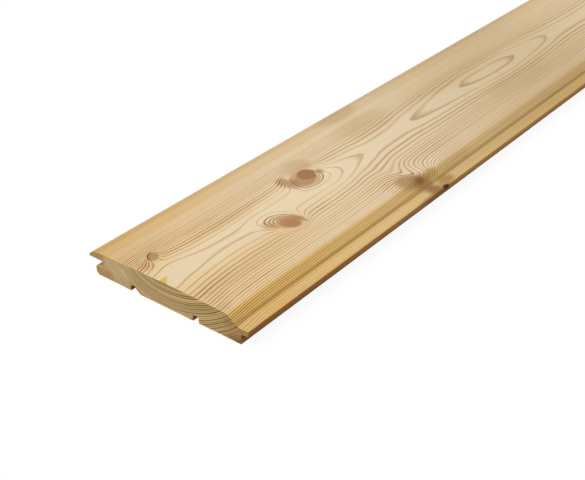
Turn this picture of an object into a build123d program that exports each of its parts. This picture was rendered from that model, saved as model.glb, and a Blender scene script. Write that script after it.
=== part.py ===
"""Tongue-and-groove cladding board: one planed softwood board lying face up.

Millimetres. X runs across the board with the tongue on the +X edge, Y along
the grain, Z up through the thickness. The origin is the centre of the
outline at the level of the back face.
"""
import os
from math import radians, tan

from build123d import *

# Stock
board_length = 2400.0
board_width = 145.0  # lip tip to tongue tip
board_thickness = 20.0  # at the highest line of the face

# Face: very slightly crowned across the width
crown_radius = 1800.0
crown_offset = 3.0  # highest line, from the middle towards the tongue

# Weather edges: the lip of the next board laps the ledge beside the bevel
lip_thickness = 7.1  # highest line of the face down to the underside of the lip
lip_reach = 5.8  # lip beyond the back edge below it
lip_tip_height = 1.9
ledge_width = 9.0  # foot of the bevel to the tip of the tongue
bevel_angle = 36.0  # both edges, below the level

# Tongue and groove
tongue_thickness = 4.6
tongue_reach = 6.0  # tongue beyond the back edge below it
groove_depth = 7.2  # from the back edge
groove_flare = 0.8  # the lower wall opens towards the mouth
joint_clearance = 0.2  # each side of the tongue

# Back relief
relief_width = 4.2
relief_depth = 4.8
relief_pitch = 57.2
relief_offset = -1.5  # middle of the pair
relief_splay = 6.0  # each wall leans out towards the mouth

# Rounds
lip_face_round = 6.0  # between the face and the lip's bevel
bevel_face_round = 10.0
bevel_foot_round = 7.0
lip_round = 0.6
tongue_top_round = 0.7
tongue_under_round = 1.8
groove_round = 0.7
groove_mouth_round = 1.0
groove_edge_back_round = 4.0
tongue_edge_back_round = 0.9
relief_round = 0.6

# Levels and edges that follow
lip_under = board_thickness - lip_thickness
ledge_level = lip_under - joint_clearance
tongue_under = ledge_level - tongue_thickness
groove_floor = tongue_under - joint_clearance
groove_mouth = groove_floor - groove_flare
lip_tip = -board_width / 2
tongue_tip = board_width / 2
groove_edge = lip_tip + lip_reach
groove_back = groove_edge + groove_depth
shoulder = tongue_tip - tongue_reach
bevel_foot = tongue_tip - ledge_width


def eased(radius, turn, *walls):
    """The radius, or as much of it as the shortest straight wall beside it leaves room for."""
    reach = tan(radians(turn) / 2)
    return min(radius, 0.48 * min(walls) / reach)


def outline():
    """Corners of the section below the face, anticlockwise from the groove's back edge.

    Each is x, height and round. The two bevels are carried on past the face.
    """
    slope = tan(radians(bevel_angle))
    above = board_thickness + 4.0
    lip_rise = above - lip_under - lip_tip_height
    bevel_rise = above - ledge_level
    bevel = (board_thickness - ledge_level) / slope
    tip = 90 - bevel_angle
    return [
        (groove_edge, 0, eased(groove_edge_back_round, 90, groove_mouth * 1.25)),
        (shoulder, 0, eased(tongue_edge_back_round, 90, tongue_under)),
        (shoulder, tongue_under, 0),
        (tongue_tip, tongue_under, eased(tongue_under_round, 90, tongue_thickness, tongue_reach)),
        (tongue_tip, ledge_level, eased(tongue_top_round, 90, tongue_thickness, ledge_width)),
        (bevel_foot, ledge_level, eased(bevel_foot_round, bevel_angle, bevel, ledge_width)),
        (bevel_foot - bevel_rise / slope, above, 0),
        (lip_tip + lip_rise / slope, above, 0),
        (lip_tip, lip_under + lip_tip_height, eased(lip_round, tip, lip_tip_height)),
        (lip_tip, lip_under, eased(lip_round, 90, lip_tip_height)),
        (groove_back, lip_under, groove_round),
        (groove_back, groove_floor, groove_round),
        (groove_edge, groove_mouth, eased(groove_mouth_round, 90, groove_mouth)),
    ]


def relief_outline(middle):
    """One back relief groove, its mouth carried a little below the back face."""
    below = 1.0
    lean = tan(radians(relief_splay))
    half = relief_width / 2
    mouth = half + (relief_depth + below) * lean
    return [
        (middle - mouth, -below),
        (middle + mouth, -below),
        (middle + half, relief_depth),
        (middle - half, relief_depth),
    ]


def rounded_face(corners):
    """A filled outline from points with a round at each."""
    with BuildSketch() as sketch:
        with BuildLine():
            FilletPolyline(
                *[(x, z) for x, z, _ in corners],
                radius=[r for _, _, r in corners],
                close=True,
            )
        make_face()
    return sketch.sketch


def section():
    """The planed section, drawn with the thickness up the page."""
    crown = Pos(crown_offset, board_thickness - crown_radius) * Circle(crown_radius)
    profile = rounded_face(outline()) & crown
    lip_corner, bevel_corner = profile.vertices().sort_by(Axis.Y)[-2:].sort_by(Axis.X)
    profile = fillet(bevel_corner, bevel_face_round)
    lip_corner = profile.vertices().sort_by_distance(lip_corner)[0]
    profile = fillet(lip_corner, lip_face_round)
    top = eased(relief_round, 90, relief_width, relief_depth)
    for side in (-1, 1):
        middle = relief_offset + side * relief_pitch / 2
        rounds = (0, 0, top, top)
        corners = [(x, z, r) for (x, z), r in zip(relief_outline(middle), rounds)]
        profile -= rounded_face(corners)
    return profile


def cladding_board():
    """The section stood up and run out to the length of the stock, towards the near end."""
    upright = Plane.XZ.offset(-board_length / 2) * section()
    return extrude(upright, amount=board_length, dir=(0, -1, 0))


os.makedirs("parts", exist_ok=True)
export_step(cladding_board(), "parts/cladding_board.step")
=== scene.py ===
"""Looks of the cladding board: planed softwood with its growth rings, knots and sawn ends.

The mesh is in metres. The figure of the wood is worked out in millimetres: across the board
from its middle line, along it from the near end, and up from the back face.
"""
from collections import namedtuple
from math import cos, radians, sin

import bmesh
import bpy
from mathutils import Matrix, Vector, noise

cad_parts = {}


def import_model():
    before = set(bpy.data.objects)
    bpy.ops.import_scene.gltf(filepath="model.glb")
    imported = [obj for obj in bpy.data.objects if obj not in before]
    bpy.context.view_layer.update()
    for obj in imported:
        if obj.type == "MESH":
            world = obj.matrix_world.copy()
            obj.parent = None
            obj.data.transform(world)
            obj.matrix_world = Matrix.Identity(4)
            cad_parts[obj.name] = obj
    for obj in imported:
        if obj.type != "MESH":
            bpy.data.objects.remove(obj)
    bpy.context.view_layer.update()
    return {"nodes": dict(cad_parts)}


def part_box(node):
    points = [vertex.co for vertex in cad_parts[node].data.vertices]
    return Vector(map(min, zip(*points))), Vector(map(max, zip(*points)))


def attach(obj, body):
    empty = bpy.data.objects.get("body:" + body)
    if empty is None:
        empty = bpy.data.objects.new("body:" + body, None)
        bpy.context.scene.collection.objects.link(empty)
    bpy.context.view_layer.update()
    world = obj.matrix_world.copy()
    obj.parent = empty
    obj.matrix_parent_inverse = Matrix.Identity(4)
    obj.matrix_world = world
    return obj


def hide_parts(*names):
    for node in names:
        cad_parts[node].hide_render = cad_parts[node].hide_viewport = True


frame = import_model()

BOARD = "cladding_board"
MM = 0.001
low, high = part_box(BOARD)
LENGTH = (high.y - low.y) / MM
FACE = high.z / MM  # level of the face above the back
TONGUE_TIP = high.x / MM

# Parts of the section, across the board and up from the back
BEVEL_TOP, BEVEL_FOOT = 53.5, 63.5
LEDGE = 12.7
SHOULDER = 66.5
UNDER_TONGUE = 8.1
RELIEF_MIDDLES = (-30.1, 27.1)
RELIEF_DEPTH = 4.8

# The log: rings round a pith above the face, closer together on the lip's side
PITH_ABOVE_FACE = 60.0
RING_WIDTH = 1.55
LIP_SIDE_CLOSER = (1.24, 1.08)  # at the near end, and further on
RING_OFFSET = -0.03

# How the heart of the figure wanders along the board: rings gained at the middle of the
# face, where that middle lies across, how bright the wood is there (partly its own tone,
# partly painted light falling off away from the near end), how pale it is there, and how
# broad the innermost lines are.
Station = namedtuple("Station", "along rings middle tone pale broad")
STATIONS = [
    Station(0, -0.62, 1.0, 0.97, 0.0, 0.1),
    Station(12, -0.46, 0.0, 0.98, 0.05, 0.1),
    Station(25, -0.38, -1.2, 0.99, 0.1, 0.05),
    Station(60, -0.24, -2.1, 1.0, 0.25, 0.0),
    Station(80, -0.28, -1.2, 1.0, 0.35, 0.0),
    Station(100, -0.36, -1.4, 1.0, 0.45, 0.05),
    Station(140, -0.6, -1.4, 1.0, 0.9, 0.1),
    Station(175, -0.42, -1.5, 1.0, 1.0, 0.1),
    Station(204, 0.27, -2.0, 0.98, 1.0, 0.25),
    Station(234, 0.96, -3.0, 0.97, 1.0, 0.3),
    Station(268, 1.4, -3.5, 0.95, 1.0, 0.3),
    Station(308, 0.94, -5.0, 0.91, 0.9, 0.5),
    Station(350, 0.45, -6.5, 0.87, 0.7, 0.5),
    Station(397, -0.08, -8.0, 0.83, 0.45, 0.45),
    Station(446, -0.42, -6.5, 0.8, 0.25, 0.25),
    Station(494, -0.05, -5.5, 0.78, 0.2, 0.35),
    Station(545, 0.6, -5.0, 0.79, 0.3, 0.25),
    Station(620, 1.3, -3.0, 0.84, 0.5, 0.3),
    Station(700, 0.4, 0.0, 0.88, 0.6, 0.2),
    Station(790, -0.3, 2.0, 0.9, 0.5, 0.1),
    Station(880, 0.2, 1.0, 0.87, 0.4, 0.2),
    Station(960, 0.9, -2.0, 0.84, 0.5, 0.3),
    Station(1050, 1.4, -4.0, 0.86, 0.7, 0.2),
    Station(1150, 0.6, -3.0, 0.9, 0.8, 0.15),
    Station(1260, -0.42, 0.0, 0.92, 0.6, 0.2),
    Station(1350, -0.5, 2.0, 0.9, 0.4, 0.15),
    Station(1440, 0.3, 3.0, 0.86, 0.3, 0.15),
    Station(1540, 1.2, 1.0, 0.84, 0.4, 0.3),
    Station(1640, 0.7, -2.0, 0.87, 0.6, 0.3),
    Station(1750, -0.4, -4.0, 0.9, 0.7, 0.2),
    Station(1860, -0.4, -3.0, 0.91, 0.6, 0.1),
    Station(1960, 0.3, 0.0, 0.88, 0.5, 0.2),
    Station(2060, 1.1, 2.0, 0.86, 0.4, 0.3),
    Station(2170, 0.5, 1.0, 0.88, 0.4, 0.15),
    Station(2290, -0.45, -1.0, 0.91, 0.3, 0.2),
    Station(2400, 0.3, -2.0, 0.92, 0.2, 0.2),
]
RINGS_SPAN = (-2.0, 3.0)
MIDDLE_SPAN = (-12.0, 12.0)
SHARE_SPAN = (0.0, 1.5)  # of tone with its painted falloff, pale and broad

# A knot: its place on the face, its half length and half width, the turn of the long axis from
# the grain, the colours of its wood and of its heart, how far the heart lies towards the far
# end, how brown the wood is round it, and how dark the collar and the gap at its edge are.
Knot = namedtuple("Knot", "along across length width turn wood heart shift halo collar gap")
REDDISH = ((177, 135, 96), (149, 103, 61))
GOLDEN = ((179, 130, 81), (173, 122, 73))
TAN = ((181, 145, 94), (174, 137, 86))
SEEN_KNOTS = [
    Knot(173.8, -14.6, 12.4, 7.9, -30.0, *REDDISH, 0.33, 0.48, 0.0, 0.0),
    Knot(112.2, 18.4, 7.9, 6.1, 51.0, *GOLDEN, 0.1, 0.55, 0.9, 0.0),
    Knot(19.1, -28.6, 5.5, 3.9, -44.0, *TAN, 0.0, 0.3, 0.0, 0.85),
]
FAR_KNOTS = [
    Knot(706.0, 21.0, 9.0, 7.0, 40.0, *REDDISH, 0.3, 0.5, 0.5, 0.0),
    Knot(748.0, -36.0, 7.0, 5.0, -30.0, *TAN, 0.0, 0.4, 0.2, 0.6),
    Knot(1118.0, -19.0, 11.0, 8.0, -38.0, *REDDISH, 0.3, 0.5, 0.3, 0.0),
    Knot(1152.0, 33.0, 7.5, 5.5, 35.0, *GOLDEN, 0.1, 0.5, 0.6, 0.0),
    Knot(1402.0, 5.0, 3.5, 3.0, 20.0, *TAN, 0.0, 0.3, 0.0, 0.8),
    Knot(1618.0, 14.0, 11.0, 8.5, 42.0, *REDDISH, 0.3, 0.5, 0.5, 0.0),
    Knot(1655.0, -42.0, 7.0, 5.0, -30.0, *GOLDEN, 0.1, 0.4, 0.4, 0.0),
    Knot(2048.0, -12.0, 9.5, 7.0, -35.0, *REDDISH, 0.3, 0.5, 0.3, 0.0),
    Knot(2086.0, 30.0, 6.5, 5.0, 40.0, *TAN, 0.0, 0.4, 0.2, 0.6),
]

# A swerve of the grain round a knot: the rings drawn outwards at its middle, how far that is
# felt towards either end and either edge, and how it is turned and slanted.
Swerve = namedtuple("Swerve", "along across pull near far lip tongue turn slant")
SEEN_SWERVES = [
    Swerve(173.5, -15.0, 9.0, 13.0, 12.5, 16.5, 9.5, -26.0, 0.0),
    Swerve(184.0, -9.0, 1.0, 16.0, 18.0, 14.0, 16.0, 0.0, 0.0),
    Swerve(112.2, 18.4, 8.0, 16.0, 10.0, 10.5, 8.5, 51.0, 0.0),
    Swerve(18.8, -28.6, 3.6, 9.0, 6.0, 7.0, 5.0, -44.0, 0.0),
    Swerve(15.0, -21.0, 1.4, 26.0, 22.0, 18.0, 15.0, 0.0, 0.0),
    Swerve(235.0, 61.0, 8.8, 11.0, 19.0, 23.5, 21.0, 0.0, 0.42),
]


def swerve_round(knot):
    """The usual swerve, in keeping with the knot's size."""
    near, far, aside = 1.7 * knot.length, 1.9 * knot.length, 1.3 * knot.length
    return Swerve(knot.along, knot.across, 8.0, near, far, aside, aside, 0.5 * knot.turn, 0.0)


KNOTS = SEEN_KNOTS + FAR_KNOTS
SWERVES = SEEN_SWERVES + [swerve_round(knot) for knot in FAR_KNOTS]
KNOT_RISE = 0.35  # a branch climbs along the board as it goes down through it
LOOSE_KNOT = Vector((72.6, 240.5, 12.2))  # broken out of the tongue's edge
LOOSE_KNOT_SIZE = Vector((2.6, 3.4, 3.0))
# Dark brown in the hole the loose knot left: painted shade, darker than its shallow dent gives.
HOLE_SHADE_COLOUR = (84, 30, 0)

# A stain: its middle across and along, half width and half length, colour, and how much of it
# takes. Where it only makes the rings fainter or stronger, it has no colour.
Stain = namedtuple("Stain", "across along wide long colour share")
STAINS = [
    Stain(-31.0, 180.0, 13.0, 20.0, (197, 169, 131), 0.85),  # calm wood above the large knot
    Stain(-62.0, 278.0, 13.0, 34.0, (184, 150, 106), 0.5),  # smudge on the lip
    Stain(-19.0, 157.0, 14.0, 8.0, (168, 132, 86), 0.75),  # where the rings crowd beside a knot
    Stain(-12.0, 188.0, 4.8, 4.8, (156, 118, 66), 0.65),
    Stain(9.5, 98.5, 9.0, 7.0, (194, 158, 108), 0.6),
    Stain(-24.0, 7.0, 9.0, 9.0, (204, 166, 112), 0.6),
    Stain(30.0, 50.0, 9.0, 75.0, (206, 172, 124), 0.4),  # darker bands of wood
    Stain(-21.0, 90.0, 8.0, 50.0, (204, 170, 122), 0.35),
    Stain(-33.0, 278.0, 22.0, 48.0, (204, 172, 126), 0.5),
    Stain(-27.0, 405.0, 14.0, 110.0, (206, 174, 128), 0.4),
    Stain(26.0, 450.0, 20.0, 70.0, (202, 172, 122), 0.35),
    Stain(59.0, 274.0, 6.0, 34.0, (182, 152, 98), 0.4),
    Stain(48.0, 4.0, 6.0, 10.0, (206, 168, 118), 0.45),
    Stain(-42.0, 6.0, 9.0, 18.0, (234, 206, 154), 0.6),  # and a paler one
    Stain(51.0, 217.0, 11.0, 15.0, (158, 118, 50), 0.68),  # shade round the edge knot
    Stain(58.0, 228.0, 11.0, 14.0, (142, 98, 40), 0.72),
    Stain(56.0, 243.0, 6.0, 10.0, (164, 126, 62), 0.6),
    Stain(69.0, 230.0, 8.0, 11.0, (138, 96, 42), 0.85),
    Stain(67.0, 249.0, 7.0, 13.0, (166, 126, 56), 0.8),
    Stain(72.0, 224.0, 2.6, 28.0, (158, 100, 52), 0.6),
    Stain(56.0, 227.0, 4.5, 6.0, (138, 92, 42), 0.8),  # its heart
    Stain(67.0, 36.0, 6.0, 18.0, (216, 180, 98), 0.45),  # golden part of the ledge
]
CALM = Stain(-32.0, 178.0, 10.0, 17.0, None, 1.0)  # the rings can hardly be told apart
CROWDED = [  # they stand out, by this share more than elsewhere
    Stain(48.0, 213.0, 17.0, 24.0, None, 1.0),
    Stain(-19.0, 157.0, 15.0, 11.0, None, 1.8),
    Stain(38.0, 200.0, 15.0, 34.0, None, 0.4),
    Stain(14.0, 95.0, 8.0, 9.0, None, 1.0),
    Stain(-21.0, 12.0, 7.0, 9.0, None, 0.4),
    Stain(-40.0, 5.0, 8.0, 16.0, None, 0.3),
    Stain(-30.0, 70.0, 6.0, 22.0, None, 0.5),
    Stain(17.0, 24.0, 7.0, 28.0, None, 0.45),
    Stain(29.0, 22.0, 6.0, 34.0, None, 0.7),
    Stain(17.0, 140.0, 9.0, 24.0, None, 0.9),
    Stain(38.0, 10.0, 7.0, 14.0, None, 0.4),
    Stain(47.0, 42.0, 7.0, 26.0, None, 0.5),
    Stain(40.0, 278.0, 16.0, 40.0, None, 0.6),
    Stain(-20.0, 420.0, 9.0, 90.0, None, 0.9),
]
RESIN = (212, 174, 72)
RESIN_CORNER = (-4.6, 7.6)  # across and along; the patch runs from there to the end's arris
RESIN_SLOPE = 1.05


def tint(red, green, blue):
    """A display colour of 0 to 255 as the linear one that a socket takes."""
    def linear(level):
        level /= 255
        return level / 12.92 if level <= 0.04045 else ((level + 0.055) / 1.055) ** 2.4
    return (linear(red), linear(green), linear(blue), 1.0)


class Field:
    """A socket that takes part in Python arithmetic: each operation adds a Math node."""

    def __init__(self, finish, socket):
        self.finish = finish
        self.socket = socket

    def math(self, operation, *values):
        return self.finish.node("ShaderNodeMath", {"operation": operation}, values)

    def __add__(self, other):
        return self.math("ADD", self, other)

    def __sub__(self, other):
        return self.math("SUBTRACT", self, other)

    def __rsub__(self, other):
        return self.math("SUBTRACT", other, self)

    def __mul__(self, other):
        return self.math("MULTIPLY", self, other)

    def __truediv__(self, other):
        return self.math("DIVIDE", self, other)

    def __lt__(self, other):
        return self.math("LESS_THAN", self, other)

    __radd__ = __add__
    __rmul__ = __mul__

    def root(self):
        return self.math("SQRT", self)

    def exp(self):
        return self.math("EXPONENT", self)

    def whole(self):
        return self.math("FLOOR", self)

    def part(self):
        return self.math("FRACT", self)

    def sine(self):
        return self.math("SINE", self)

    def most(self, other):
        return self.math("MAXIMUM", self, other)

    def fade(self, start, end):
        """Smoothly 0 at start and 1 at end, whichever of the two is larger."""
        settings = {"interpolation_type": "SMOOTHSTEP"}
        if start < end:
            return self.finish.node("ShaderNodeMapRange", settings, (self, start, end, 0.0, 1.0))
        return self.finish.node("ShaderNodeMapRange", settings, (self, end, start, 1.0, 0.0))

    def rise(self, start, end):
        """The same between two fields, the second always larger."""
        return self.finish.node("ShaderNodeMapRange", None, (self, start, end, 0.0, 1.0))


class Finish:
    """A node tree in the making, of a material or of the world."""

    def __init__(self, owner):
        owner.use_nodes = True
        self.tree = owner.node_tree
        self.tree.nodes.clear()

    def node(self, kind, settings=None, inputs=(), output=0):
        """One node: its settings, then the values or links of its sockets; gives one of its outputs."""
        made = self.tree.nodes.new(kind)
        for key, value in (settings or {}).items():
            if key == "points":
                self.curve_points(made, value)
            else:
                setattr(made, key, value)
        for key, value in inputs.items() if isinstance(inputs, dict) else enumerate(inputs):
            socket = made.inputs[key]
            if isinstance(value, Field):
                self.tree.links.new(value.socket, socket)
            else:
                socket.default_value = value
        return Field(self, made.outputs[output]) if made.outputs else None

    def curve_points(self, made, points):
        curve = made.mapping.curves[0]
        curve.points[0].location = points[0]
        curve.points[1].location = points[-1]
        for x, y in points[1:-1]:
            curve.points.new(x, y)
        made.mapping.update()

    def vector(self, x, y, z):
        return self.node("ShaderNodeCombineXYZ", None, (x, y, z))

    def noise(self, x, y, z, detail=2.0, rough=0.5):
        inputs = {"Vector": self.vector(x, y, z), "Scale": 1.0, "Detail": detail, "Roughness": rough}
        return self.node("ShaderNodeTexNoise", None, inputs)

    def chance(self, number):
        """A number of 0 to 1 that is the same wherever the given one is."""
        return self.node("ShaderNodeTexWhiteNoise", {"noise_dimensions": "1D"}, {"W": number})

    def blend(self, under, over, share, mode="MIX"):
        settings = {"data_type": "RGBA", "blend_type": mode}
        return self.node("ShaderNodeMix", settings, {0: share, 6: under, 7: over}, output=2)

    def shaded(self, colour, level):
        """A colour made darker or brighter by a field."""
        grey = self.node("ShaderNodeCombineColor", None, (level, level, level))
        return self.blend(colour, grey, 1.0, "MULTIPLY")

    def place(self):
        """Across, along and up, in millimetres."""
        spot = self.node("ShaderNodeTexCoord", output="Object")
        split = [self.node("ShaderNodeSeparateXYZ", None, (spot,), output=axis) for axis in range(3)]
        across, y, z = (axis / MM for axis in split)
        return across, y + LENGTH / 2, z

    def run(self, along, values, span):
        """A value that changes along the board, smoothly through the stations."""
        start, end = span
        points = [(s.along / LENGTH, (v - start) / (end - start)) for s, v in zip(STATIONS, values)]
        share = self.node("ShaderNodeFloatCurve", {"points": points}, (1.0, along / LENGTH))
        return share * (end - start) + start


def through_board(knot, across, along, up):
    """Distances across and along from a branch that runs outwards from the pith through the board."""
    below = FACE - up
    aside = across - knot.across - below * (knot.across / PITH_ABOVE_FACE)
    beyond = along - knot.along - below * KNOT_RISE
    return aside, beyond


def turned(aside, beyond, degrees):
    """The same distances along and across an axis turned from the grain."""
    turn = radians(degrees)
    return beyond * cos(turn) + aside * sin(turn), aside * cos(turn) - beyond * sin(turn)


def swerves(across, along, up):
    """Rings drawn outwards by all the knots together."""
    total = 0.0
    for swerve in SWERVES:
        u, v = turned(*through_board(swerve, across, along, up), swerve.turn)
        u = u - v * swerve.slant
        u = (u / swerve.far).most(u / -swerve.near)
        v = (v / swerve.tongue).most(v / -swerve.lip)
        total = total + ((u * u + v * v) * -1.0).exp() * swerve.pull
    return total


def growth_rings(finish, across, along, up):
    """Rings counted outwards from the heart of the figure, with each year's width a little its own."""
    middle = finish.run(along, [s.middle for s in STATIONS], MIDDLE_SPAN)
    aside = across - middle
    near, far = LIP_SIDE_CLOSER
    closer = near + (far - near) * along.fade(120.0, 260.0)
    aside = aside * (1.0 + (closer - 1.0) * (aside < 0.0))
    depth = PITH_ABOVE_FACE + FACE - up
    from_pith = (aside * aside + depth * depth).root()
    gained = finish.run(along, [s.rings for s in STATIONS], RINGS_SPAN)
    rings = (from_pith - PITH_ABOVE_FACE) / RING_WIDTH + gained - swerves(across, along, up) + RING_OFFSET
    outer = rings.fade(1.0, 7.0)
    waver = finish.noise(across * 0.07, along * 0.02, up * 0.07, detail=3.0) - 0.5
    uneven = finish.noise(rings * 0.45, 3.7, 0.0, detail=1.0) - 0.5
    return rings + waver * (0.15 + 0.45 * outer) + uneven * outer * 0.8


def late_wood(finish, rings, broad, widest, least, faint):
    """How dark the year's line is: it comes on slowly, ends sharply, and differs from year to year."""
    part = rings.part()
    inner = rings.fade(-0.9, -2.2)
    outer = rings.fade(0.1, 2.2).most(inner)
    breadth = outer.most(broad)
    line = part.rise(0.8 - breadth * (widest + 0.1 * inner), 0.9) * part.fade(1.0, 0.94)
    depth = finish.chance(rings.whole()).most(1.0 - outer).most(inner)
    return line * (least + (1.0 - least) * depth) * (faint + (1.0 - faint) * breadth)


def patch(across, along, stain):
    """1 in the middle of a stain, 0 at its edge."""
    u, v = (across - stain.across) / stain.wide, (along - stain.along) / stain.long
    return (u * u + v * v).fade(1.0, 0.0)


def stained(finish, colour, across, along, grain):
    """A colour with the stains laid over it, uneven as the wood takes them."""
    for stain in STAINS:
        share = patch(across, along, stain) * (stain.share + grain * 0.5)
        colour = finish.blend(colour, tint(*stain.colour), share)
    return colour


def knotted(finish, colour, knot, aside, beyond, wobble, grain):
    """A colour with one knot laid over it: the brown wood round it, its collar, its wood and its heart."""
    u, v = turned(aside, beyond, knot.turn)
    u, v = u / knot.length, v / knot.width
    core = (u * u + v * v).root() * wobble
    near_side = u.fade(0.8, -0.8)
    halo = core.fade(2.3, 1.0) * (0.55 + 0.45 * near_side) * knot.halo
    colour = finish.blend(colour, (0.79, 0.67, 0.49, 1.0), halo, "MULTIPLY")
    if knot.collar:
        collar = core.fade(0.95, 1.1) * core.fade(2.0, 1.5) * v.fade(-0.1, -0.9)
        collar = collar * (0.4 + 0.6 * u.fade(-1.2, 0.9))
        colour = finish.blend(colour, tint(154, 112, 46), collar * (0.85 + grain) * knot.collar)
    colour = finish.blend(colour, tint(*knot.wood), core.fade(1.07, 0.94) * 0.95)
    middle = u - knot.shift
    heart = (middle * middle * 2.0 + v * v * 1.05).root() * wobble
    inside = heart.fade(1.03, 0.85)
    colour = finish.blend(colour, tint(*knot.heart), inside * (0.85 + grain))
    rings = (core * 22.0 + grain * 6.0).sine() * core.fade(1.12, 0.95)
    colour = finish.shaded(colour, 1.0 + (0.15 - 0.09 * inside) * rings + 0.4 * grain * core.fade(1.3, 0.9))
    rim = core.fade(0.85, 1.0) * core.fade(1.2, 1.05)
    colour = finish.blend(colour, tint(142, 100, 54), rim * (0.2 + 0.5 * near_side) * knot.halo)
    if knot.gap:
        gap = core.fade(0.78, 0.9) * core.fade(1.14, 1.0) * v.fade(-0.2, -0.55)
        colour = finish.blend(colour, tint(94, 52, 18), gap * knot.gap)
    return colour


def tinted(finish, colour, near, far, distance, share):
    """A part of the section multiplied by a colour, given as shares at the near end and further on."""
    hue = finish.blend((*near, 1.0), (*far, 1.0), distance)
    return finish.blend(colour, hue, share, "MULTIPLY")


def on_bevel(across):
    return across.fade(BEVEL_TOP, BEVEL_TOP + 2.0)


def on_ledge(across):
    return across.fade(BEVEL_FOOT - 1.0, BEVEL_FOOT + 1.0)


def early_wood(finish, across, along, pale, distance):
    """The pale wood between the lines, palest at the heart of the figure."""
    heart = across.fade(14.0, 6.0) * across.fade(-20.0, -8.0)
    early = finish.blend(tint(229, 200, 152), tint(228, 205, 168), pale)
    early = finish.blend(early, tint(230, 210, 175), heart * (0.75 - 0.4 * along.fade(330.0, 430.0)))
    beside = across.fade(14.0, 24.0) * across.fade(46.0, 34.0)
    return tinted(finish, early, (0.97, 0.955, 0.93), (0.975, 0.98, 0.98), distance, beside)


def section_hues_and_shade(finish, early, across, up, distance):
    """The lip, the bevel and the ledge, each of its own hue; the tongue's edge browner and partly painted
    shade; painted shade under the tongue and inside the relief grooves.
    """
    lip = across.fade(-50.0, -54.0)
    early = tinted(finish, early, (0.9, 0.815, 0.66), (0.94, 0.92, 0.87), distance, lip)
    lip_edge = across.fade(-60.0, -64.0)
    early = tinted(finish, early, (0.89, 0.835, 0.71), (0.91, 0.88, 0.82), distance, lip_edge)
    early = tinted(finish, early, (0.96, 0.84, 0.45), (0.96, 0.88, 0.65), distance, on_bevel(across))
    early = tinted(finish, early, (0.97, 1.0, 1.35), (0.89, 0.85, 0.74), distance, on_ledge(across))
    under_tongue = across.fade(SHOULDER - 1.0, SHOULDER - 0.2)
    under_tongue = under_tongue * up.fade(UNDER_TONGUE + 0.3, UNDER_TONGUE - 0.2)
    # The tongue's edge and the shoulder under it: browner wood and partly painted shade, darkest at the near
    # end.
    edge = across.fade(TONGUE_TIP - 0.6, TONGUE_TIP - 0.1).most(under_tongue)
    early = tinted(finish, early, (0.78, 0.48, 0.17), (1.3, 1.02, 0.58), distance, edge)
    # Painted shade on the shoulder just under the tongue, darkest at its top.
    shade = under_tongue * up.fade(3.0, 7.5)
    early = finish.blend(early, (0.35, 0.28, 0.18, 1.0), shade, "MULTIPLY")
    # Painted shade inside the relief grooves.
    for middle in RELIEF_MIDDLES:
        aside = across - middle
        inside = (aside * aside).fade(7.4, 6.9) * up.fade(RELIEF_DEPTH + 0.4, RELIEF_DEPTH + 0.2)
        early = finish.blend(early, (0.6, 0.4, 0.2, 1.0), inside, "MULTIPLY")
    return early


def line_strength(across, along, distance):
    """How strongly the year's lines show, from place to place on the face."""
    lip_side = 1.0 - 0.6 * across.fade(-44.0, -54.0)
    lip_side = lip_side * (1.0 - 0.3 * across.fade(-28.0, -42.0) * along.fade(140.0, 200.0))
    paler = 0.25 * along.fade(35.0, 70.0) + 0.15 * along.fade(190.0, 250.0)
    lip_side = lip_side * (1.0 - across.fade(-6.0, -14.0) * paler)
    lip_side = lip_side * (1.0 - 0.4 * across.fade(-22.0, -34.0) * along.fade(260.0, 340.0))
    tongue_side = 1.0 - 0.28 * across.fade(4.0, 16.0) - 0.1 * across.fade(20.0, 28.0)
    tongue_side = tongue_side + 0.12 * across.fade(34.0, 44.0) * along.fade(110.0, 50.0)
    strength = (1.1 + 0.2 * along.fade(45.0, 10.0)) * lip_side * tongue_side
    strength = strength * (1.0 + (0.65 - 0.4 * distance) * on_bevel(across) - 0.65 * on_ledge(across))
    for crowd in CROWDED:
        strength = strength * (1.0 + crowd.share * patch(across, along, crowd))
    return strength * (1.0 - patch(across, along, CALM))


def resin_mark(across, along, up, grain):
    """1 on the resin at the near end."""
    corner_across, corner_along = RESIN_CORNER
    mark = (corner_along - (across - corner_across) * RESIN_SLOPE - along + grain * 4.0).fade(-0.8, 1.2)
    return mark * across.fade(corner_across - 0.5, corner_across + 0.4) * up.fade(FACE - 2.0, FACE - 1.0)


def loose_knot_hole(finish, across, along, up):
    """1 in the hole that the loose knot left."""
    shares = ((c - m) / s for c, m, s in zip((across, along, up), LOOSE_KNOT, LOOSE_KNOT_SIZE))
    away = finish.vector(*shares)
    gap = finish.node("ShaderNodeVectorMath", {"operation": "LENGTH"}, (away,), output="Value")
    return gap.fade(1.5, 0.8)


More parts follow.
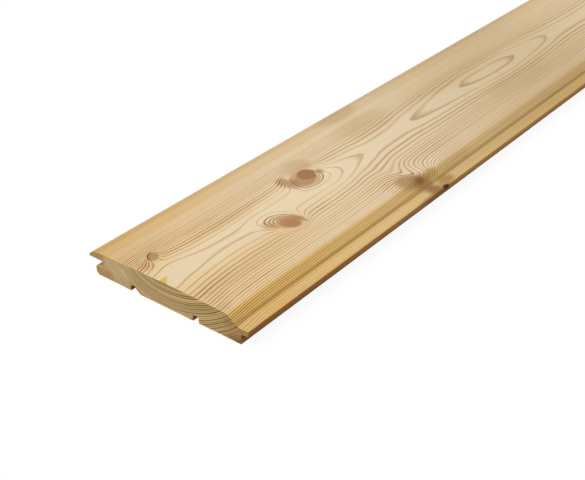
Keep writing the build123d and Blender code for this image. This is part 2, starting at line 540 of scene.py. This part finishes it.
def face_colour(finish, across, along, up, line):
    """Colour of the planed wood, from pale early wood to the knots' hearts."""
    fine = finish.noise(across * 2.4, along * 0.045, up * 2.4, detail=3.0, rough=0.6) - 0.5
    broad = finish.noise(across * 0.3, along * 0.006, up * 0.3, detail=3.0) - 0.5
    grain = finish.noise(across * 0.9, along * 0.9, up * 0.9, detail=4.0, rough=0.6) - 0.5
    # Brightness along the board: partly the wood's own tone, partly painted light that falls off away from
    # the near end.
    tone = finish.run(along, [s.tone for s in STATIONS], SHARE_SPAN)
    pale = finish.run(along, [s.pale for s in STATIONS], SHARE_SPAN)
    distance = along.fade(30.0, 420.0)
    early = early_wood(finish, across, along, pale, distance)
    early = section_hues_and_shade(finish, early, across, up, distance)
    early = stained(finish, early, across, along, grain)
    late = finish.blend(early, (0.45, 0.22, 0.0, 1.0), 1.0, "MULTIPLY")
    colour = finish.blend(early, late, line * line_strength(across, along, distance))
    # A dark line in the concave corner at the bevel's foot: partly dirt, partly painted shade.
    foot = across.fade(BEVEL_FOOT - 3.6, BEVEL_FOOT - 2.0) * across.fade(BEVEL_FOOT, BEVEL_FOOT - 1.0)
    colour = finish.blend(colour, tint(150, 112, 48), foot * (0.6 + 0.5 * broad))
    wobble = finish.noise(across * 0.22, along * 0.22, up * 0.22, detail=3.0) * 0.4 + 0.8
    for knot in KNOTS:
        aside, beyond = through_board(knot, across, along, up)
        colour = knotted(finish, colour, knot, aside, beyond, wobble, grain)
    resin = resin_mark(across, along, up, grain)
    colour = finish.blend(colour, tint(*RESIN), resin * (0.9 + grain * 0.6))
    # Painted shade in the loose knot's hole.
    colour = finish.blend(colour, tint(*HOLE_SHADE_COLOUR), loose_knot_hole(finish, across, along, up))
    level = tone * (1.0 + 0.26 * fine + 0.14 * broad)
    return finish.shaded(colour, level)


def planed_softwood():
    """The planed faces and edges."""
    material = bpy.data.materials.new("planed_softwood")
    finish = Finish(material)
    across, along, up = finish.place()
    rings = growth_rings(finish, across, along, up)
    broad = finish.run(along, [s.broad for s in STATIONS], SHARE_SPAN)
    widest = 0.3 + 0.15 * across.fade(-10.0, -22.0)
    faint = 0.25 + 0.17 * along.fade(125.0, 95.0)
    line = late_wood(finish, rings, broad, widest, 0.5, faint)
    colour = face_colour(finish, across, along, up, line)
    fine = finish.noise(across * 2.4, along * 0.045, up * 2.4, detail=3.0, rough=0.6)
    planer = (along * 3.4).sine() * 0.12
    height = fine * 0.6 + planer
    bump = finish.node("ShaderNodeBump", None, {"Strength": 0.35, "Distance": 0.0002, "Height": height})
    rough = 0.62 - line * 0.08 + fine * 0.06
    surface(finish, {"Base Color": colour, "Roughness": rough, "Normal": bump}, gloss=0.3)
    return material


def sawn_end_grain():
    """The two sawn ends."""
    material = bpy.data.materials.new("sawn_end_grain")
    finish = Finish(material)
    across, along, up = finish.place()
    rings = growth_rings(finish, across, along, up)
    line = late_wood(finish, rings, 1.0, 0.55, 0.15, 1.0)
    speckle = finish.noise(across * 3.2, 0.0, up * 3.2, detail=4.0, rough=0.65) - 0.5
    cloud = finish.noise(across * 0.12, 0.0, up * 0.2, detail=2.0) - 0.5
    down_ray, over_ray = across * 0.75 + up * 0.66, up * 0.75 - across * 0.66
    streak = finish.noise(down_ray * 0.55, 5.0, over_ray * 0.04, detail=2.0)
    lip_side = across.fade(-26.0, -38.0)
    colour = finish.blend(tint(228, 198, 143), tint(240, 205, 144), across.fade(-36.0, -10.0))
    rays = lip_side * streak.fade(0.5, 0.6) * up.fade(2.0, 12.0) * 0.8
    colour = finish.blend(colour, tint(252, 222, 172), rays)
    corner = (across.fade(-44.0, -56.0) * up.fade(10.0, 4.0)).most(across.fade(-55.0, -61.0))
    colour = finish.blend(colour, tint(208, 162, 104), corner * 0.85)
    tongue_side = across.fade(42.0, 64.0) * (0.6 + 0.3 * up.fade(8.0, 2.0))
    colour = finish.blend(colour, tint(182, 134, 74), tongue_side)
    late = finish.blend(colour, (0.2, 0.12, 0.0, 1.0), 1.0, "MULTIPLY")
    upper = up.fade(6.0, 14.0) * across.fade(-24.0, 6.0)
    strength = 1.0 + 0.3 * upper + 0.3 * across.fade(4.0, 30.0)
    strength = strength - 0.35 * across.fade(42.0, 54.0) * up.fade(4.0, 8.0)
    colour = finish.blend(colour, late, line * strength * (1.0 - 0.75 * lip_side))
    colour = finish.shaded(colour, 1.02 + 0.2 * speckle + 0.2 * cloud)
    saw = (up * 5.5 + across * 1.1 + speckle * 3.0).sine()
    height = speckle + 0.12 * saw - 0.3 * line
    bump = finish.node("ShaderNodeBump", None, {"Strength": 0.5, "Distance": 0.0003, "Height": height})
    surface(finish, {"Base Color": colour, "Roughness": 0.75, "Normal": bump}, gloss=0.2)
    return material


def surface(finish, inputs, gloss):
    """The wood's shader and the material's output."""
    shader = finish.node("ShaderNodeBsdfPrincipled", None, {"Specular IOR Level": gloss, **inputs})
    finish.node("ShaderNodeOutputMaterial", None, (shader,))


# The mesh: loops across and along the board, closer where something is broken out or eased
ACROSS_STEP = 5.0
ALONG_STEP = 25.0
EASED_LENGTH, EASED_DEPTH = 0.5, 0.35  # arris of a sawn end
CLOSE_RUNS = [(0.0, 6.0, 0.75), (232.0, 249.0, 1.0)]  # from, to and step along the board
HOLE_PUSH = Vector((-1.6, 0.0, -0.8))  # how the edge gives way at the hole's middle
CHIP = (-27.4, 0.0)  # across and up; corner of the chipped relief groove at the near end
CHIP_REACH = 3.2
CHIP_PUSH = Vector((0.4, 1.0, 0.9))
CHIP_LINES = [-27.4, -26.4, -25.8, -24.2, -23.4, -22.6]  # loops beside the chipped relief groove
CHIP_LEVELS = [0.8, 1.6, 2.4, 3.2, 4.0]
CAP_ROW = 0.065  # share of the bake's height for the two ends
UNDER_SHARE = 0.42  # width on the bake of the hidden sides, against the face's
MARGIN = 0.004
ACROSS_GRAIN = 0.9  # a face whose normal runs along the board by more than this is a sawn end
SHARP_FROM = 28.0  # degrees


def loop_places():
    """Where loops go along the board, in millimetres from the near end."""
    places = {EASED_LENGTH, LENGTH - EASED_LENGTH, LENGTH / 2}
    places |= {step * ALONG_STEP for step in range(1, round(LENGTH / ALONG_STEP))}
    for start, end, step in CLOSE_RUNS:
        places |= {start + step * count for count in range(1, round((end - start) / step))}
    return sorted(places)


def unroll(cap, layer):
    """Lays the long faces side by side on the bake, in the order they have round the section."""
    reach = 0.0
    widths = []
    for corner in cap.loops:
        edge = corner.link_loop_next.vert.co - corner.vert.co
        upward = edge.x < -0.3 * edge.length and corner.vert.co.z > 0.5 * LEDGE * MM
        widths.append((corner, reach, reach + edge.length * (1.0 if upward else UNDER_SHARE)))
        reach = widths[-1][2]
    for corner, start, end in widths:
        wall = corner.link_loop_radial_next.face
        first = corner.vert.co
        second = corner.link_loop_next.vert.co
        for loop in wall.loops:
            there = loop.vert.co
            flat = Vector((there.x, first.y, there.z))
            nearer_first = (flat - first).length < (flat - second).length
            loop[layer].uv = (there.y > 0.0, (start if nearer_first else end) / reach)


def fold_bake(bm, layer):
    """Puts the two halves of the length in strips of their own, and the ends in a row above them."""
    strip = (1.0 - CAP_ROW) / 2
    for face in bm.faces:
        if abs(face.normal.y) > ACROSS_GRAIN:
            side = 0.5 if face.normal.y > 0.0 else 0.0
            for loop in face.loops:
                spot_across = (loop.vert.co.x - low.x) / (high.x - low.x)
                spot_up = loop.vert.co.z / high.z
                loop[layer].uv = (
                    side + MARGIN + spot_across * (0.5 - 2 * MARGIN),
                    1.0 - CAP_ROW + MARGIN + spot_up * (CAP_ROW - 2 * MARGIN),
                )
            continue
        half = int(face.calc_center_median().y > 0.0)
        for loop in face.loops:
            run, round_section = loop[layer].uv
            loop[layer].uv = (
                MARGIN + (2 * run - half) * (1.0 - 2 * MARGIN),
                strip * half + MARGIN + round_section * (strip - 2 * MARGIN),
            )


def cut(bm, geometry, place, direction):
    """Adds a loop of edges where a plane crosses the board, and gives the geometry beyond it."""
    made = bmesh.ops.bisect_plane(bm, geom=geometry, dist=1e-7, plane_co=place, plane_no=direction)
    return [part for part in made["geom"] if (middle_of(part) - place).dot(direction) > 1e-6]


def middle_of(part):
    """The middle of a vertex, an edge or a face."""
    if isinstance(part, bmesh.types.BMVert):
        return part.co
    return sum((vert.co for vert in part.verts), Vector()) / len(part.verts)


def add_loops(bm, faces, places, axis):
    """Loops of edges across some faces at places along one axis, in millimetres, from the lowest on."""
    direction = Vector((axis == "x", axis == "y", axis == "z"))
    ahead = list({part for face in faces for part in (*face.verts, *face.edges, face)})
    for place in sorted(places):
        ahead = cut(bm, ahead, direction * place * MM, direction)


def ease_ends(bm):
    """Takes the sharpness off the sawn ends' arrises, unevenly."""
    bm.normal_update()
    outward = {}
    for face in bm.faces:
        if abs(face.normal.y) < 0.5:
            for vert in face.verts:
                if abs(vert.co.y) > high.y - 1e-6:
                    outward[vert] = outward.get(vert, Vector()) + face.normal
    for vert, normal in outward.items():
        amount = 0.6 + 0.8 * noise.noise(vert.co * 300.0)
        vert.co -= normal.normalized() * EASED_DEPTH * MM * max(amount, 0.15)


def break_out(bm):
    """The loose knot's hole in the tongue's edge and the chipped corner of one relief groove."""
    hole = Vector((LOOSE_KNOT.x, LOOSE_KNOT.y - LENGTH / 2, LOOSE_KNOT.z))
    for vert in bm.verts:
        away = vert.co / MM - hole
        gap = Vector([distance / size for distance, size in zip(away, LOOSE_KNOT_SIZE)]).length
        if gap < 1.0:
            vert.co += HOLE_PUSH * MM * (1.0 - gap) ** 0.5
    chip_across, chip_up = CHIP
    corner = Vector((chip_across, -LENGTH / 2, chip_up))
    for vert in bm.verts:
        gap = (vert.co / MM - corner).length / CHIP_REACH
        if gap < 1.0:
            vert.co += CHIP_PUSH * MM * (1.0 - gap)


def board():
    """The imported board's own mesh, with loops added, ends eased and the damage broken out."""
    bm = bmesh.new()
    bm.from_mesh(frame["nodes"][BOARD].data)
    bmesh.ops.remove_doubles(bm, verts=bm.verts, dist=1e-6)
    bmesh.ops.dissolve_limit(bm, angle_limit=radians(0.2), verts=bm.verts, edges=bm.edges)
    bm.normal_update()
    layer = bm.loops.layers.uv.new("OFBake")
    near_end = min(bm.faces, key=lambda face: face.normal.y * face.calc_area())
    unroll(near_end, layer)
    add_loops(bm, bm.faces, [step * ACROSS_STEP for step in range(-11, 11)] + CHIP_LINES, "x")
    add_loops(bm, bm.faces, [place - LENGTH / 2 for place in loop_places()], "y")
    add_loops(bm, [face for face in bm.faces if face.normal.y < -ACROSS_GRAIN], CHIP_LEVELS, "z")
    bm.normal_update()
    fold_bake(bm, layer)
    for face in bm.faces:
        face.material_index = int(abs(face.normal.y) > ACROSS_GRAIN)
        face.smooth = True
    ease_ends(bm)
    break_out(bm)
    mesh = bpy.data.meshes.new(BOARD + "_dressed")
    bm.to_mesh(mesh)
    bm.free()
    mesh.set_sharp_from_angle(angle=radians(SHARP_FROM))
    mesh.materials.append(planed_softwood())
    mesh.materials.append(sawn_end_grain())
    piece = bpy.data.objects.new("planed_board", mesh)
    bpy.context.scene.collection.objects.link(piece)
    even = piece.modifiers.new("even shading", "WEIGHTED_NORMAL")
    even.keep_sharp = True
    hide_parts(BOARD)
    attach(piece, "root")
    return piece


# Studio
CAMERA_PLACE = Vector((0.4275, -1.61156, 0.42044))
CAMERA_RIGHT = Vector((0.78909, 0.61427, 0.00089))
CAMERA_UP = Vector((-0.32608, 0.41766, 0.84808))
CAMERA_LENS = 66.12
SENSOR = 36.0
KEY_FROM = Vector((-0.1, -0.45, 0.88))
KEY_STRENGTH = 2.1
SOFTNESS = 55.0  # degrees that the key light covers
AMBIENT = 0.42
WHITE = (1.0, 1.0, 1.0, 1.0)
FLOOR_SIZE = 12.0
FLOOR_DROP = 0.3 * MM  # clear of the board's back
FLOOR_BOUNCE = 0.12
FLOOR_SHADOW = 0.08  # how much of the shadow shows on the white floor


def camera():
    made = bpy.data.objects.new("camera", bpy.data.cameras.new("camera"))
    bpy.context.scene.collection.objects.link(made)
    back = CAMERA_RIGHT.cross(CAMERA_UP)
    turn = Matrix((CAMERA_RIGHT, CAMERA_UP, back)).transposed().to_4x4()
    made.matrix_world = Matrix.Translation(CAMERA_PLACE) @ turn
    made.data.sensor_fit = "HORIZONTAL"
    made.data.sensor_width = SENSOR
    made.data.lens = CAMERA_LENS
    made.data.clip_start = 0.01
    bpy.context.scene.camera = made


def seen(finish):
    """1 for rays that show the background to the camera, also by way of a reflection."""
    path = {name: finish.node("ShaderNodeLightPath", output=name)
            for name in ("Is Camera Ray", "Is Glossy Ray", "Is Transmission Ray")}
    return path["Is Camera Ray"].most(path["Is Glossy Ray"]).most(path["Is Transmission Ray"])


def world():
    made = bpy.data.worlds.new("studio")
    bpy.context.scene.world = made
    finish = Finish(made)
    strength = AMBIENT + (1.0 - AMBIENT) * seen(finish)
    sky = finish.node("ShaderNodeBackground", None, {"Color": WHITE, "Strength": strength})
    finish.node("ShaderNodeOutputWorld", None, (sky,))


def key_light():
    lamp = bpy.data.lights.new("key", "SUN")
    lamp.energy = KEY_STRENGTH
    lamp.angle = radians(SOFTNESS)
    made = bpy.data.objects.new("key", lamp)
    made.rotation_mode = "QUATERNION"
    made.rotation_quaternion = KEY_FROM.to_track_quat("Z", "Y")
    bpy.context.scene.collection.objects.link(made)


def floor():
    bm = bmesh.new()
    bmesh.ops.create_grid(bm, x_segments=1, y_segments=1, size=FLOOR_SIZE)
    bmesh.ops.translate(bm, verts=bm.verts, vec=(0.0, 0.0, -FLOOR_DROP))
    mesh = bpy.data.meshes.new("floor")
    bm.to_mesh(mesh)
    bm.free()
    made = bpy.data.objects.new("floor", mesh)
    bpy.context.scene.collection.objects.link(made)
    material = bpy.data.materials.new("pale_floor")
    finish = Finish(material)
    lit = finish.node("ShaderNodeBsdfDiffuse", None, {"Color": WHITE})
    white = finish.node("ShaderNodeEmission", None, {"Strength": 1.0})
    dim = finish.node("ShaderNodeBsdfDiffuse", None, {"Color": (*[FLOOR_BOUNCE] * 3, 1.0)})
    shown = finish.node("ShaderNodeMixShader", None, (1.0 - FLOOR_SHADOW, lit, white))
    both = finish.node("ShaderNodeMixShader", None, (seen(finish), dim, shown))
    finish.node("ShaderNodeOutputMaterial", None, (both,))
    mesh.materials.append(material)


bpy.context.scene.view_settings.view_transform = "Standard"
camera()
world()
key_light()
floor()
board()
